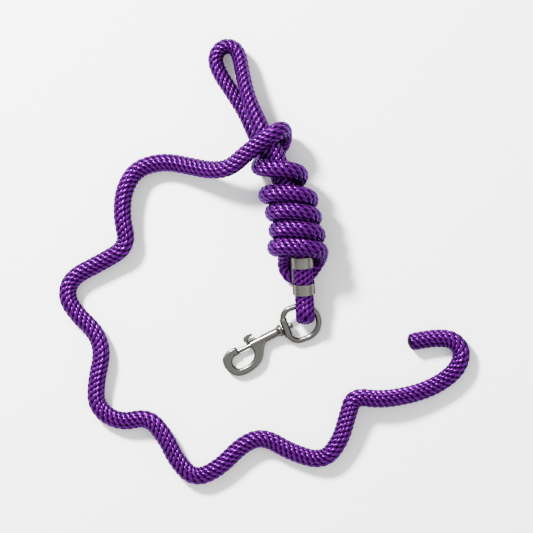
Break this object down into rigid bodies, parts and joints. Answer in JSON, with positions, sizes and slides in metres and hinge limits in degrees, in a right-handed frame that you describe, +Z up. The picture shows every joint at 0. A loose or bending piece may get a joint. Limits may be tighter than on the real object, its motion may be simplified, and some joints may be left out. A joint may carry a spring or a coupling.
{
  "type": "training lead",
  "caption": "Braided rope training lead wound in a hank, with a hand loop, a loose tail and a swivel bolt snap held by a sheet-metal rope clamp.",
  "frame": {"origin": "bottom centre of the box round the metal fittings, on the surface the lead lies on", "axes": "+Z up, +Y along the fittings from the hook towards the hank, +X to the right seen from above"},
  "size_m": [0.3769, 0.4096, 0.052],
  "materials": {
    "rope": "braided",
    "nickel": "satin",
    "clamp_steel": "satin",
    "spring_steel": "polished"
  },
  "bodies": {
    "rope_and_clamp": {"rope_clamp": "clamp_steel", "rope_snap_loop": "rope", "rope_fold": "rope", "rope_hank": "rope", "rope_hitch": "rope", "rope_hand_loop": "rope", "rope_tail": "rope"},
    "eye": {"swivel_eye": "nickel"},
    "snap": {"snap_body": "nickel", "swivel_rivet": "nickel", "bolt_spring": "spring_steel"},
    "bolt": {"snap_bolt": "nickel", "thumb_stud": "nickel"}
  },
  "joints": [
    {"name": "eye_swing", "type": "hinge", "parent": "rope_and_clamp", "child": "eye", "pos_m": [0.02972, 0.00756, 0.01362], "axis": [0, 0, 1], "range_deg": [-6, 32]},
    {"name": "swivel_spin", "type": "hinge", "parent": "eye", "child": "snap", "pos_m": [0.01265, -0.01254, 0.00815], "axis": [0.8924, 0.4449, 0.075], "continuous": true},
    {"name": "bolt_slide", "type": "slide", "parent": "snap", "child": "bolt", "axis": [0.8924, 0.4449, 0.075], "range_m": [0, 0.011], "stiffness_N_per_m": 300, "springref_m": -0.01, "deforming": ["bolt_spring"]}
  ]
}
